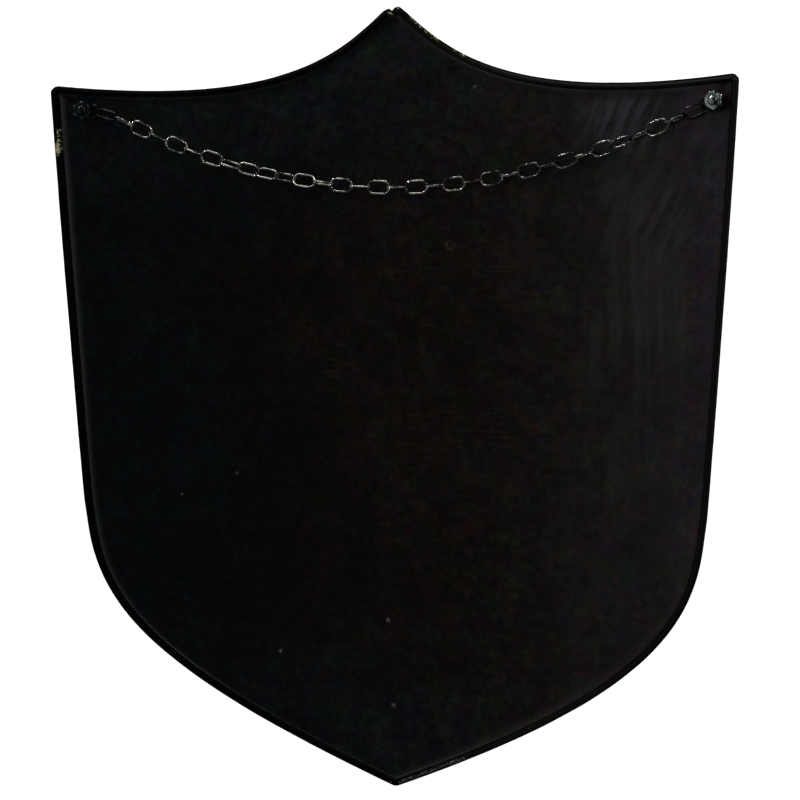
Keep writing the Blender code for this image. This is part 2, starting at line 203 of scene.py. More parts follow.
class Finish:
    """A material on one Principled shader."""

    def __init__(self, name, **uniform):
        self.material = bpy.data.materials.new(name)
        self.material.use_nodes = True
        self.tree = self.material.node_tree
        self.shader = self.tree.nodes["Principled BSDF"]
        for socket, value in uniform.items():
            self.shader.inputs[socket.replace("_", " ")].default_value = value
        self.place = self.node("ShaderNodeTexCoord", output="Object")

    def node(self, kind, settings=None, sockets=None, output=0):
        """Any node: its settings are set first, then the values or links of its sockets."""
        made = self.tree.nodes.new(kind)
        for name, value in (settings or {}).items():
            if name == "stops":
                self.set_stops(made.color_ramp, value)
            else:
                setattr(made, name, value)
        for name, value in (sockets or {}).items():
            if isinstance(value, Signal):
                self.tree.links.new(value.socket, made.inputs[name])
            else:
                made.inputs[name].default_value = value
        return Signal(self, made.outputs[output])

    @staticmethod
    def set_stops(ramp, stops):
        """The stops of a colour ramp, as (place, colour)."""
        while len(ramp.elements) < len(stops):
            ramp.elements.new(1.0)
        for element, (place, colour) in zip(ramp.elements, stops):
            element.position = place
            element.color = (*colour, 1.0)

    def stretched(self, scale, turn=0.0):
        """The place on the surface, turned about Z and then scaled along each axis."""
        turned = self.node("ShaderNodeMapping", {}, {"Vector": self.place, "Rotation": (0.0, 0.0, turn)})
        return self.node("ShaderNodeMapping", {}, {"Vector": turned, "Scale": scale})

    def clouds(self, size, detail, roughness, place=None, shift=0.0):
        """Noise from about 0.3 to 0.7, with blotches of a size in metres."""
        where = place or self.place
        if shift:
            moved = {"Vector": where, "Location": (shift, 2 * shift, -shift)}
            where = self.node("ShaderNodeMapping", {}, moved)
        sockets = {"Vector": where, "Scale": 1.0 / size, "Detail": detail, "Roughness": roughness}
        return self.node("ShaderNodeTexNoise", {}, sockets)

    def away(self, place, centre):
        """How far a place is from a centre on the plan."""
        ends = {0: place, 1: (*centre, 0.0)}
        return self.node("ShaderNodeVectorMath", {"operation": "DISTANCE"}, ends, "Value")

    def times_plus(self, vector, times, plus):
        """A place or a colour, each part times a number plus a number or a signal."""
        sockets = {0: vector, 1: times, 2: plus}
        return self.node("ShaderNodeVectorMath", {"operation": "MULTIPLY_ADD"}, sockets)

    def spots(self, place, marks):
        """1 inside round marks given as (x, y, radius), 0 outside them."""
        total = None
        for *centre, radius in marks:
            mark = self.away(place, centre).between(radius * (1.0 + MARK_EDGE), radius * (1.0 - MARK_EDGE))
            total = mark if total is None else total.highest(mark)
        return total

    def mixed(self, factor, first, second, blend="MIX"):
        """Two colours mixed by a signal or a number."""
        sockets = {0: factor}
        for index, colour in zip(MIX_COLOURS, (first, second)):
            sockets[index] = colour if isinstance(colour, Signal) else (*colour, 1.0)
        return self.node("ShaderNodeMix", {"data_type": "RGBA", "blend_type": blend}, sockets, MIX_RESULT)

    def feed(self, name, signal):
        """Drives a socket of the shader."""
        self.tree.links.new(signal.socket, self.shader.inputs[name])

    def relief(self, height, depth, strength=1.0):
        """Fine relief of a depth in metres, from a signal of heights."""
        sockets = {"Height": height, "Distance": depth, "Strength": strength}
        self.feed("Normal", self.node("ShaderNodeBump", {}, sockets))


# The outline, as rings at a distance inside the outer edge

def bezier(points, count):
    """Points along one smooth edge."""
    t = np.linspace(0.0, 1.0, count)[:, None]
    s = 1.0 - t
    first, second, third, fourth = (np.array(point) for point in points)
    return s ** 3 * first + 3 * s * s * t * second + 3 * s * t * t * third + t ** 3 * fourth


def way(angle):
    """A direction along +X, dropped by an angle."""
    return np.array((math.cos(angle), -math.sin(angle)))


def sharp_edges():
    """The top edge and the flank of the right half, from the apex to the tip."""
    apex = np.zeros(2)
    corner = np.array((WIDTH / 2, -CORNER_DROP))
    shoulder = np.array((SHOULDER_WIDTH / 2, -SHOULDER_DROP))
    tip = np.array((0.0, -HEIGHT))
    down = np.array((math.sin(SIDE_ANGLE), math.cos(SIDE_ANGLE)))
    shoulder_way = np.array((math.sin(SHOULDER_ANGLE), math.cos(SHOULDER_ANGLE)))
    rise = np.array((math.cos(CORNER_ANGLE), math.sin(CORNER_ANGLE)))
    to_tip = tip + TIP_PULL * np.array((math.cos(TIP_ANGLE), math.sin(TIP_ANGLE)))
    above = shoulder + SHOULDER_PULL_UP * shoulder_way
    below = shoulder - SHOULDER_PULL_DOWN * shoulder_way
    top = bezier((apex, APEX_PULL * way(APEX_ANGLE), corner - CORNER_PULL * rise, corner), TOP_SAMPLES)
    side = bezier((corner, corner - SIDE_PULL * down, above, shoulder), SIDE_SAMPLES)
    flank = bezier((shoulder, below, to_tip, tip), FLANK_SAMPLES)
    return top, np.concatenate((side, flank[1:]))


TOP_EDGE, FLANK_EDGE = sharp_edges()


def offset(line, distance):
    """A line moved to its right as it runs clockwise, which is into the shield."""
    along = np.gradient(line, axis=0)
    along /= np.linalg.norm(along, axis=1)[:, None]
    return line + distance * np.stack((along[:, 1], -along[:, 0]), axis=1)


def cut(line, origin, normal):
    """The part of a line that lies on a cut's normal side, which starts or ends on the cut."""
    height = (line - origin) @ normal
    inside = np.nonzero(height >= 0.0)[0]
    first, last = inside[0], inside[-1]
    pieces = [line[first:last + 1]]
    if first > 0:
        share = height[first - 1] / (height[first - 1] - height[first])
        pieces.insert(0, (line[first - 1] + share * (line[first] - line[first - 1]))[None])
    if last < len(line) - 1:
        share = height[last] / (height[last] - height[last + 1])
        pieces.append((line[last] + share * (line[last + 1] - line[last]))[None])
    return np.concatenate(pieces)


def lengths_along(line):
    """Distance along a line to each of its points."""
    return np.concatenate(([0.0], np.cumsum(np.linalg.norm(np.diff(line, axis=0), axis=1))))


def at_length(line, lengths):
    """Points at given distances along a line."""
    along = lengths_along(line)
    return np.stack((np.interp(lengths, along, line[:, 0]), np.interp(lengths, along, line[:, 1])), axis=1)


def arc(start, corner, end, half_angle, count):
    """Points of the round that replaces a corner, between the two points that it touches."""
    t = np.linspace(0.0, 1.0, count + 1)[:, None]
    weight = 2 * math.sin(half_angle) * t * (1 - t)
    total = (1 - t) ** 2 + weight + t * t
    return ((1 - t) ** 2 * start + weight * corner + t * t * end) / total


CORNER_HALF = (math.pi / 2 + CORNER_ANGLE - SIDE_ANGLE) / 2
APEX_HALF = math.pi / 2 - APEX_ANGLE
TIP_HALF = math.pi / 2 - TIP_ANGLE


def round_of(radius, distance, half_angle):
    """How far a corner's round reaches along its edges, on the ring at a distance."""
    return max(radius - distance, radius * LEAST_ROUND) / math.tan(half_angle)


def half_ring(distance):
    """The right half of a ring, from the apex to the tip, both on the middle line."""
    middle = np.zeros(2)
    right = np.array((1.0, 0.0))
    top = cut(offset(TOP_EDGE, distance), middle, right)
    flank = cut(offset(FLANK_EDGE, distance), middle, right)
    corner = np.array((WIDTH / 2, -CORNER_DROP))
    back = -np.array((math.cos(CORNER_ANGLE), math.sin(CORNER_ANGLE)))
    down = -np.array((math.sin(SIDE_ANGLE), math.cos(SIDE_ANGLE)))
    across = (back - down) / np.linalg.norm(back - down)
    top = cut(top, corner, across)
    flank = cut(flank, corner, -across)
    meeting = (top[-1] + flank[0]) / 2
    apex_reach = round_of(APEX_ROUND, distance, APEX_HALF)
    corner_reach = round_of(CORNER_ROUND, distance, CORNER_HALF)
    tip_reach = round_of(CORNER_ROUND, distance, TIP_HALF)
    top_length = lengths_along(top)[-1]
    flank_length = lengths_along(flank)[-1]
    top_run = at_length(top, np.linspace(apex_reach, top_length - corner_reach, TOP_STATIONS + 1))
    flank_run = at_length(flank, np.linspace(corner_reach, flank_length - tip_reach, SIDE_STATIONS + 1))
    mirror = np.array((-1.0, 1.0))
    apex = arc(top_run[0] * mirror, top[0], top_run[0], APEX_HALF, 2 * APEX_STATIONS)[APEX_STATIONS:]
    bend = arc(top_run[-1], meeting, flank_run[0], CORNER_HALF, CORNER_STATIONS)
    tip = arc(flank_run[-1], flank[-1], flank_run[-1] * mirror, TIP_HALF, 2 * TIP_STATIONS)
    return np.concatenate((apex, top_run[1:], bend[1:], flank_run[1:], tip[1:TIP_STATIONS + 1]))


OUTER_HALF = half_ring(0.0)
MIDDLE_Y = (OUTER_HALF[:, 1].max() + OUTER_HALF[:, 1].min()) / 2
HANGER_Y = -CORNER_DROP - HANGER_DROP - MIDDLE_Y
CORNER_STATION = APEX_STATIONS + TOP_STATIONS + CORNER_STATIONS // 2
TIP_STATION = len(OUTER_HALF) - 1
STATIONS = 2 * TIP_STATION


def ring(distance):
    """A whole ring, clockwise from the apex."""
    half = half_ring(distance)
    half = half - np.array((0.0, MIDDLE_Y))
    other = half[-2:0:-1] * np.array((-1.0, 1.0))
    return np.concatenate((half, other))


def front_height(x):
    """Height of the sheet's front face over the surface that the shield lies on."""
    reach = np.maximum(np.abs(x) - FLAT_HALF, 0.0)
    return BOW_RADIUS * (1.0 - np.cos(np.arcsin(reach / BOW_RADIUS)))


def smooth(value, low, high):
    """0 below low, 1 above high and smooth between them."""
    share = np.clip((value - low) / (high - low), 0.0, 1.0)
    return share * share * (3.0 - 2.0 * share)


# Slow hollows beaten into the sheet, none of them where it rests or is bolted

WAVE_DEPTH = 0.0005
WAVE_SIZE = 0.085
WAVE_FINER = 2.3
WAVE_LAYERS = (0.7, 5.1)
WAVE_EDGES = (0.022, 0.070)
WAVE_HANGER = (0.020, 0.050)


def wave(x, y):
    """How far the sheet is pushed down at a place."""
    broad, fine = WAVE_LAYERS
    value = noise.noise(Vector((x / WAVE_SIZE, y / WAVE_SIZE, broad)))
    value += 0.5 * noise.noise(Vector((x / WAVE_SIZE * WAVE_FINER, y / WAVE_SIZE * WAVE_FINER, fine)))
    hanger = min(math.hypot(x - bolt, y - HANGER_Y) for bolt in BOLT_X)
    fade = float(smooth(abs(x), *WAVE_EDGES) * smooth(hanger, *WAVE_HANGER))
    return -WAVE_DEPTH * fade * min(1.0, max(0.0, 0.5 + value))


# The rolled edge and the dished border, as one section swept round the outline

# The wall of the soft hollow beside the roll, as (distance inside the outer edge, height) of its curve
FILLET = ((0.0054, 0.00318), (0.0051, 0.00330), (0.0047, 0.00740), (0.0038, 0.00785))
FILLET_STEPS = 7
# The part of the roll that shows, in degrees round it
BEAD_FROM = 75
BEAD_TO = 292
BEAD_TURN = 15
# Steps across the dished border on the back and on the front, and where the roll meets its front
COVE_BACK = 9
COVE_FRONT = 9
FRONT_FOOT = 0.0046
# How uneven the roll is along the outline, and its shape at the corners and at its two cut ends by the apex,
# with places and reaches along the outline in stations
ROLL_PACE = 0.13
ROLL_UNEVEN = 0.035
ROLL_FINE_UNEVEN = 0.02
ROLL_WIDEST = 1.1
LIFT_UNEVEN = 0.00018
CORNER_PINCH = 0.08
CORNER_REACH = 3.0
LEFT_END = STATIONS - 2
LEFT_PINCH = 0.30
LEFT_PINCH_REACH = 3.2
LEFT_PUSH = -0.0012
LEFT_PUSH_REACH = 3.5
RIGHT_END = 6
RIGHT_LIFT = 0.0009
RIGHT_LIFT_REACH = 7.0
RIGHT_PUSH = 0.0013
RIGHT_PUSH_REACH = 6.0


def cove_rise(distance):
    """How far the border has risen from the field, at a distance inside the outer edge."""
    return BORDER_RISE * ((FIELD_INSET - distance) / BORDER_WIDTH) ** 2


def section():
    """The section's points, as (distance inside the outer edge, height over the front, on the roll)."""
    points = []
    for step in range(COVE_BACK):
        distance = FIELD_INSET + (FILLET[0][0] - FIELD_INSET) * step / COVE_BACK
        points.append((distance, SHEET + cove_rise(distance), False))
    points += [(distance, height, False) for distance, height in bezier(FILLET, FILLET_STEPS)[:-1]]
    for angle in range(BEAD_FROM, BEAD_TO + 1, BEAD_TURN):
        turn = math.radians(angle)
        distance = BEAD_RADIUS + BEAD_RADIUS * math.cos(turn)
        points.append((distance, BEAD_HEIGHT + BEAD_RADIUS * math.sin(turn), True))
    for step in range(COVE_FRONT + 1):
        distance = FRONT_FOOT + (FIELD_INSET - FRONT_FOOT) * step / COVE_FRONT
        points.append((distance, cove_rise(distance), False))
    return points


def bump_at(station, centre, reach):
    """1 at a station, 0 at a number of stations away from it."""
    away = abs((station - centre + STATIONS / 2) % STATIONS - STATIONS / 2)
    return float(1.0 - smooth(away, 0.0, reach))


def roll_shape(station):
    """How the roll is shaped at a station: its size as a share, its lift, and its push towards the apex."""
    place = station * ROLL_PACE
    size = 1.0 + ROLL_UNEVEN * noise.noise(Vector((place, 2.0, 0.0)))
    size += ROLL_FINE_UNEVEN * noise.noise(Vector((place * 4, 7.0, 0.0)))
    lift = LIFT_UNEVEN * noise.noise(Vector((place * 0.6, 11.0, 0.0)))
    for centre in (CORNER_STATION, TIP_STATION, STATIONS - CORNER_STATION):
        size -= CORNER_PINCH * bump_at(station, centre, CORNER_REACH)
    size -= LEFT_PINCH * bump_at(station, LEFT_END, LEFT_PINCH_REACH)
    lift += RIGHT_LIFT * bump_at(station, RIGHT_END, RIGHT_LIFT_REACH)
    push = RIGHT_PUSH * bump_at(station, RIGHT_END, RIGHT_PUSH_REACH)
    push += LEFT_PUSH * bump_at(station, LEFT_END, LEFT_PUSH_REACH)
    return min(size, ROLL_WIDEST), lift, push


def swept_border(shape):
    """The border's faces, and its inner loops on the back and on the front."""
    rings = []
    shapes = [roll_shape(station) for station in range(STATIONS)]
    centre = ring(BEAD_RADIUS)
    for distance, height, rolled in section():
        line = ring(distance)
        loop = []
        for station in range(STATIONS):
            x, y = line[station]
            size, lift, push = shapes[station]
            z = height
            if rolled:
                x = centre[station, 0] + (x - centre[station, 0]) * size
                y = centre[station, 1] + (y - centre[station, 1]) * size + push
                z = BEAD_HEIGHT + (height - BEAD_HEIGHT) * size + lift
            z += float(front_height(x)) + wave(x, y)
            loop.append(shape.verts.new((x, y, z)))
        rings.append(loop)
    for outer, inner in zip(rings, rings[1:]):
        for station in range(STATIONS):
            following = (station + 1) % STATIONS
            shape.faces.new((outer[station], outer[following], inner[following], inner[station]))
    return rings[0], rings[-1]


def inside(points, loop):
    """Which points lie inside a loop."""
    result = np.zeros(len(points), dtype=bool)
    x, y = points[:, 0], points[:, 1]
    for start, end in zip(loop, np.roll(loop, -1, axis=0)):
        crosses = (start[1] > y) != (end[1] > y)
        run = end[1] - start[1]
        if run:
            result ^= crosses & (x < start[0] + (y - start[1]) * (end[0] - start[0]) / run)
    return result


# The field's points: half the height and width they are spread over, and how far they stay from the border
# and from the holes, in steps
FIELD_ROWS = 0.32
FIELD_COLUMNS = 0.28
BORDER_CLEAR = 0.6
HOLE_CLEAR = 0.5
SAME_POINT = 1e-7


def hole_loop(bolt):
    """Points round the hole of a bolt."""
    turns = [2 * math.pi * step / TURN_STEPS for step in range(TURN_STEPS)]
    return [Vector((bolt + HOLE_RADIUS * math.cos(turn), HANGER_Y + HOLE_RADIUS * math.sin(turn)))
            for turn in turns]


def field_grid():
    """Points spread over the field, clear of its border and of the bolt holes."""
    rows = np.arange(-FIELD_ROWS, FIELD_ROWS, FIELD_STEP * math.sqrt(3) / 2)
    columns = np.arange(-FIELD_COLUMNS, FIELD_COLUMNS, FIELD_STEP)
    points = [(x + (index % 2) * FIELD_STEP / 2, y) for index, y in enumerate(rows) for x in columns]
    points = np.array(points)
    points = points[inside(points, ring(FIELD_INSET + FIELD_STEP * BORDER_CLEAR))]
    for bolt in BOLT_X:
        away = np.hypot(points[:, 0] - bolt, points[:, 1] - HANGER_Y)
        points = points[away > HOLE_RADIUS + FIELD_STEP * HOLE_CLEAR]
    return points


def fill_field(shape, border, lift, up):
    """The field inside a border loop, at a lift over the front face; gives the loops of its bolt holes."""
    flat = [Vector((vertex.co.x, vertex.co.y)) for vertex in border]
    count = len(flat)
    edges = [(index, (index + 1) % count) for index in range(count)]
    holes = []
    for bolt in BOLT_X:
        first = len(flat)
        flat += hole_loop(bolt)
        edges += [(first + index, first + (index + 1) % TURN_STEPS) for index in range(TURN_STEPS)]
        holes.append(range(first, first + TURN_STEPS))
    flat += [Vector(point) for point in field_grid()]
    places, _, faces, sources, _, _ = geometry.delaunay_2d_cdt(flat, edges, [], 1, SAME_POINT, True)
    made = [None] * len(places)
    by_source = {}
    for index, place in enumerate(places):
        known = [source for source in sources[index] if source < count]
        if known:
            made[index] = border[known[0]]
        else:
            z = float(front_height(place.x)) + lift + wave(place.x, place.y)
            made[index] = shape.verts.new((place.x, place.y, z))
        for source in sources[index]:
            by_source[source] = made[index]
    flat_places = np.array(places)
    middles = np.array([flat_places[list(face)].mean(axis=0) for face in faces])
    kept = inside(middles, np.array(flat[:count]))
    for bolt in BOLT_X:
        kept &= np.hypot(middles[:, 0] - bolt, middles[:, 1] - HANGER_Y) > HOLE_RADIUS
    for face, keep in zip(faces, kept):
        if keep:
            corners = [made[index] for index in face]
            shape.faces.new(corners if up else corners[::-1])
    return [[by_source[source] for source in hole] for hole in holes]


# Faces that meet at more than these angles meet in a crisp edge
SHARP = math.radians(50.0)
NUT_SHARP = math.radians(24.0)


def finish_piece(name, shape, slot_name, finish, *nodes, sharp=SHARP):
    """A piece from its faces, with its finish, which stands for nodes of the frame."""
    shape.normal_update()
    mesh = bpy.data.meshes.new(name)
    shape.to_mesh(mesh)
    shape.free()
    mesh.shade_smooth()
    mesh.set_sharp_from_angle(angle=sharp)
    mesh.materials.append(finish)
    piece = bpy.data.objects.new(name, mesh)
    bpy.context.scene.collection.objects.link(piece)
    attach(piece, "root")
    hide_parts(*nodes)


def make_plate(finish):
    """The sheet with its rolled edge."""
    shape = bmesh.new()
    back, front = swept_border(shape)
    back_holes = fill_field(shape, back, SHEET, True)
    front_holes = fill_field(shape, front, 0.0, False)
    for top, bottom in zip(back_holes, front_holes):
        for index in range(TURN_STEPS):
            following = (index + 1) % TURN_STEPS
            shape.faces.new((top[following], top[index], bottom[index], bottom[following]))
    bmesh.ops.recalc_face_normals(shape, faces=shape.faces)
    finish_piece("shield_sheet", shape, "black_paint", finish, "shield_plate")


# Chain links, each laid where the frame's link lies

LINK_SIDES = 12
LINK_BOW_STEPS = 14
LINK_STRAIGHT_STEPS = 7
# How the links differ, by how square their bows are and how they are twisted, and the bump of the weld
LINK_SEED = 100
LINK_SQUASH = (0.90, 1.0)
LINK_SKEW = 0.00015
WELD_SWELL = 0.16
WELD_REACH = 0.09


def link_pose(name):
    """Where a link of the frame lies: its middle, and its length, width and thickness ways as columns."""
    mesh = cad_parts[name].data
    points = np.array([vertex.co for vertex in mesh.vertices])
    low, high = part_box(name)
    middle = (Vector(low) + Vector(high)) / 2
    centred = points - points.mean(axis=0)
    _, ways = np.linalg.eigh(centred.T @ centred)
    long_way = Vector(ways[:, 2])
    wide_way = Vector(ways[:, 1])
    if long_way.x < 0:
        long_way.negate()
    return middle, Matrix((long_way, wide_way, long_way.cross(wide_way))).transposed()


def link_path(rng):
    """Points round a link in its own plane, with how much its wire is swollen there."""
    bow = (LINK_WIDTH - LINK_WIRE) / 2
    straight = (LINK_LENGTH - LINK_WIRE) / 2 - bow
    squash = rng.uniform(*LINK_SQUASH)
    points = []

    def squashed(value):
        return bow * math.copysign(abs(value) ** squash, value)

    for end in (0, 1):
        sign = 1 if end == 0 else -1
        for step in range(LINK_BOW_STEPS + 1):
            angle = -math.pi / 2 + math.pi * step / LINK_BOW_STEPS + math.pi * end
            points.append((sign * straight + squashed(math.cos(angle)), squashed(math.sin(angle)), 1.0))
        for step in range(1, LINK_STRAIGHT_STEPS):
            share = step / LINK_STRAIGHT_STEPS
            x = sign * straight * (1.0 - 2.0 * share)
            swell = 1.0
            if end == 0:
                swell += WELD_SWELL * math.exp(-((share - 0.5) / WELD_REACH) ** 2)
            points.append((x, sign * bow, swell))
    return points


def make_link(index, finish):
    """One wire link with its butted and welded joint."""
    name = f"chain_link_{index:02d}"
    rng = random.Random(LINK_SEED + index)
    middle, ways = link_pose(name)
    path = link_path(rng)
    count = len(path)
    shape = bmesh.new()
    loops = []
    skew = rng.uniform(-LINK_SKEW, LINK_SKEW)
    for station, (x, y, swell) in enumerate(path):
        before = path[station - 1]
        after = path[(station + 1) % count]
        along = Vector((after[0] - before[0], after[1] - before[1], 0.0)).normalized()
        outward = Vector((along.y, -along.x, 0.0))
        centre = Vector((x, y, skew * math.sin(math.pi * x / LINK_LENGTH * 2)))
        radius = LINK_WIRE / 2 * swell
        loop = []
        for side in range(LINK_SIDES):
            turn = 2 * math.pi * side / LINK_SIDES
            point = centre + radius * (math.cos(turn) * outward + math.sin(turn) * Vector((0.0, 0.0, 1.0)))
            loop.append(shape.verts.new(middle + ways @ point))
        loops.append(loop)
    for station in range(count):
        near, far = loops[station], loops[(station + 1) % count]
        for side in range(LINK_SIDES):
            following = (side + 1) % LINK_SIDES
            shape.faces.new((near[side], near[following], far[following], far[side]))
    bmesh.ops.recalc_face_normals(shape, faces=shape.faces)
    finish_piece(name + "_wire", shape, "chain_steel", finish, name)


# Nuts and bolts

NUT_FACE_INSET = 0.0003
NUT_CHAMFER = math.radians(30.0)
NUT_EDGE = 0.00012
NUT_COUNTERSINK = 0.0005
# The bolt's round head, its thread and its chamfered end
HEAD_RADIUS = 0.0075
HEAD_FOOT = -0.0003
HEAD_STEPS = 10
HEAD_CROWN = 0.05
THREAD_FROM = 0.0012
THREAD_STEPS = 12
THREAD_ROOT = 0.1
THREAD_RISE = 0.75
BOLT_CHAMFER = 0.0006
BOLT_END_INSET = 0.0001
BOLT_END_DROP = 0.00005
BOLT_END_DEPTHS = 2.2


def hanger_ways(side):
    """A frame square to the sheet where a bolt goes through, with its origin on the front face."""
    x = BOLT_X[side > 0]
    lean = math.copysign(math.asin((abs(x) - FLAT_HALF) / BOW_RADIUS), x)
    return Matrix.Translation((x, HANGER_Y, float(front_height(x)))) @ Matrix.Rotation(-lean, 4, "Y")


def span_along(node, place):
    """Lowest and highest point of a node along the bolt."""
    turned = place.inverted()
    heights = [(turned @ vertex.co).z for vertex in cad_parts[node].data.vertices]
    return min(heights), max(heights)


def lathe(rings, place, closed):
    """Faces between rings of points given as functions of the turn, and caps on the open ends."""
    shape = bmesh.new()
    loops = []
    for make_point in rings:
        loop = []
        for step in range(TURN_STEPS):
            turn = 2 * math.pi * step / TURN_STEPS
            radius, height = make_point(turn)
            point = Vector((radius * math.cos(turn), radius * math.sin(turn), height))
            loop.append(shape.verts.new(place @ point))
        loops.append(loop)
    pairs = list(zip(loops, loops[1:]))
    if closed:
        pairs.append((loops[-1], loops[0]))
    for lower, upper in pairs:
        for step in range(TURN_STEPS):
            following = (step + 1) % TURN_STEPS
            shape.faces.new((lower[step], lower[following], upper[following], upper[step]))
    if not closed:
        shape.faces.new(loops[0][::-1])
        shape.faces.new(loops[-1])
    bmesh.ops.recalc_face_normals(shape, faces=shape.faces)
    return shape


def make_nut(side, finish):
    """A hexagon nut, chamfered at both ends, with a countersunk bore."""
    word = "left" if side < 0 else "right"
    place = hanger_ways(side)
    low, high = span_along("hanger_nut_" + word, place)
    washer = NUT_FLAT - NUT_FACE_INSET
    bore = HOLE_RADIUS

    def hexagon(turn):
        sixth = math.pi / 3
        return NUT_FLAT / math.cos((turn + sixth / 2) % sixth - sixth / 2)

    def drop(turn):
        return (hexagon(turn) - washer) * math.tan(NUT_CHAMFER)

    rings = [
        lambda turn: (bore, low + NUT_COUNTERSINK),
        lambda turn: (bore + NUT_COUNTERSINK, low),
        lambda turn: (washer - NUT_EDGE, low),
        lambda turn: (washer + NUT_EDGE, low + NUT_EDGE * 0.5),
        lambda turn: (hexagon(turn) - NUT_EDGE, low + drop(turn)),
        lambda turn: (hexagon(turn), low + drop(turn) + NUT_EDGE),
        lambda turn: (hexagon(turn), high - drop(turn) - NUT_EDGE),
        lambda turn: (hexagon(turn) - NUT_EDGE, high - drop(turn)),
        lambda turn: (washer + NUT_EDGE, high - NUT_EDGE * 0.5),
        lambda turn: (washer - NUT_EDGE, high),
        lambda turn: (bore + NUT_COUNTERSINK, high),
        lambda turn: (bore, high - NUT_COUNTERSINK),
    ]
    shape = lathe(rings, place, True)
    node = "hanger_nut_" + word
    finish_piece(node + "_hexagon", shape, "worn_steel", finish, node, sharp=NUT_SHARP)


def make_bolt(side, finish):
    """A bolt with a round head under the front, and a thread up to its end."""
    word = "left" if side < 0 else "right"
    place = hanger_ways(side)
    low, high = span_along("hanger_bolt_" + word, place)
    fine = THREAD_PITCH / THREAD_STEPS
    start = HEAD_FOOT + THREAD_FROM
    levels = int((high - start) / fine)

    def head(angle):
        return HEAD_RADIUS * math.cos(angle), HEAD_FOOT + (low - HEAD_FOOT) * math.sin(angle)

    def thread(turn, height):
        phase = (height / THREAD_PITCH - turn / (2 * math.pi)) % 1.0
        ridge = abs(2.0 * phase - 1.0)
        ridge = min(1.0, max(0.0, (ridge - THREAD_ROOT) / THREAD_RISE))
        fade = min(1.0, max(0.0, (height - start) / THREAD_PITCH))
        end = max(0.0, height - (high - BOLT_CHAMFER))
        return min(BOLT_RADIUS - THREAD_DEPTH * (1.0 - ridge) * fade, BOLT_RADIUS - end)

    rings = [lambda turn: (HEAD_RADIUS * HEAD_CROWN, low)]
    for step in range(1, HEAD_STEPS + 1):
        angle = math.pi / 2 * (1.0 - step / HEAD_STEPS)
        rings.append(lambda turn, a=angle: head(a))
    rings.append(lambda turn: (BOLT_RADIUS, HEAD_FOOT))
    for level in range(levels):
        height = start + fine * level
        rings.append(lambda turn, h=height: (thread(turn, h), h))
    rings.append(lambda turn: (BOLT_RADIUS - THREAD_DEPTH - BOLT_END_INSET, high - BOLT_END_DROP))
    rings.append(lambda turn: (BOLT_RADIUS - BOLT_END_DEPTHS * THREAD_DEPTH, high))
    shape = lathe(rings, place, False)
    node = "hanger_bolt_" + word
    finish_piece(node + "_thread", shape, "worn_steel", finish, node)


# Finishes

# Marks on the back, as (x, y, radius): pale specks in the paint, and chips down to the brass on the roll
SPECKS = (
    (-0.0069, -0.1705, 0.0013), (-0.0931, -0.1983, 0.0015), (-0.0022, -0.2377, 0.0013),
    (0.0624, 0.2405, 0.0010), (-0.1269, -0.0572, 0.0009), (-0.1701, -0.0741, 0.0009),
)
CHIPS = (
    (-0.2576, 0.2098, 0.0010), (-0.2578, 0.2060, 0.0007), (-0.2576, 0.2022, 0.0010),
    (-0.2579, 0.1992, 0.0014), (-0.2578, 0.1958, 0.0017), (-0.2580, 0.1926, 0.0010),
    (0.0341, 0.2781, 0.0018), (0.0480, 0.2695, 0.0016), (0.0543, 0.2649, 0.0013),
    (0.0045, 0.3015, 0.0008), (-0.0020, 0.2965, 0.0010), (-0.0037, -0.2997, 0.0010),
)
SLIVER = tuple((x, y, 0.0007) for x, y in ring(0.0002) if 0.013 < x < 0.034 and y > 0.2)
# A painted highlight along the roll by the tip, as (x, y, radius).
TIP_HIGHLIGHT_STRIP = tuple((x, y, 0.0009) for x, y in ring(0.0028) if 0.003 < x < 0.055 and y < -0.27)
RING_MARK = (0.0429, 0.1215)
RING_MARK_RADIUS = 0.0030
RING_MARK_LINE = (0.0008, 0.0002)

# Heights over the bowed front from which the colour is the roll's, and from which there can be chips
ROLL_HEIGHTS = (0.0058, 0.0073)
CHIP_HEIGHTS = (0.0025, 0.0045)
# Where the roll turns from a near black of painted shade to a grey of painted sheen, from rusty to olive,
# and from either to the apex's rust
ROLL_SHEEN_X = (0.0, 0.10)
ROLL_OLIVE_X = (-0.01, 0.005)
ROLL_RUST_Y = (0.235, 0.275)

# Where the paint changes from left to right, where it grows lighter to the right partly as painted sheen,
# and the ends of the shield that are bluer
PLUM_X = (-0.20, -0.09)
BROWN_X = (-0.10, 0.03)
GREY_AND_SHEEN_X = (0.04, 0.19)
MAUVE_AND_SHEEN_X = (0.205, 0.235)
TOP_END_Y = (0.12, 0.24)
TIP_END_Y = (-0.14, -0.27)
ENDS_X = (0.13, 0.0)

# Where marks lie: the brown lines rubbed in, the grey streaks, partly rubbed in and partly painted sheen,
# with their densest patch, and the smudge
LINES_X = (-0.10, -0.02, 0.09, 0.17)
LINES_Y = (-0.09, 0.0, 0.10, 0.16)
STREAKS_LEFT_X = (0.125, 0.175)
STREAKS_RIGHT_X = (0.235, 0.215)
STREAKS_Y = (-0.19, -0.05, 0.19, 0.25)
STREAKS_SLANT_Y = (0.05, 0.14)
STREAKS_HIGH_X = (0.17, 0.10)
SHEEN_PATCH_Y = (0.01, 0.07, 0.15, 0.19)
SMUDGE_X = (0.130, 0.165, 0.190, 0.215)
SMUDGE_Y = (0.185, 0.200, 0.222, 0.240)
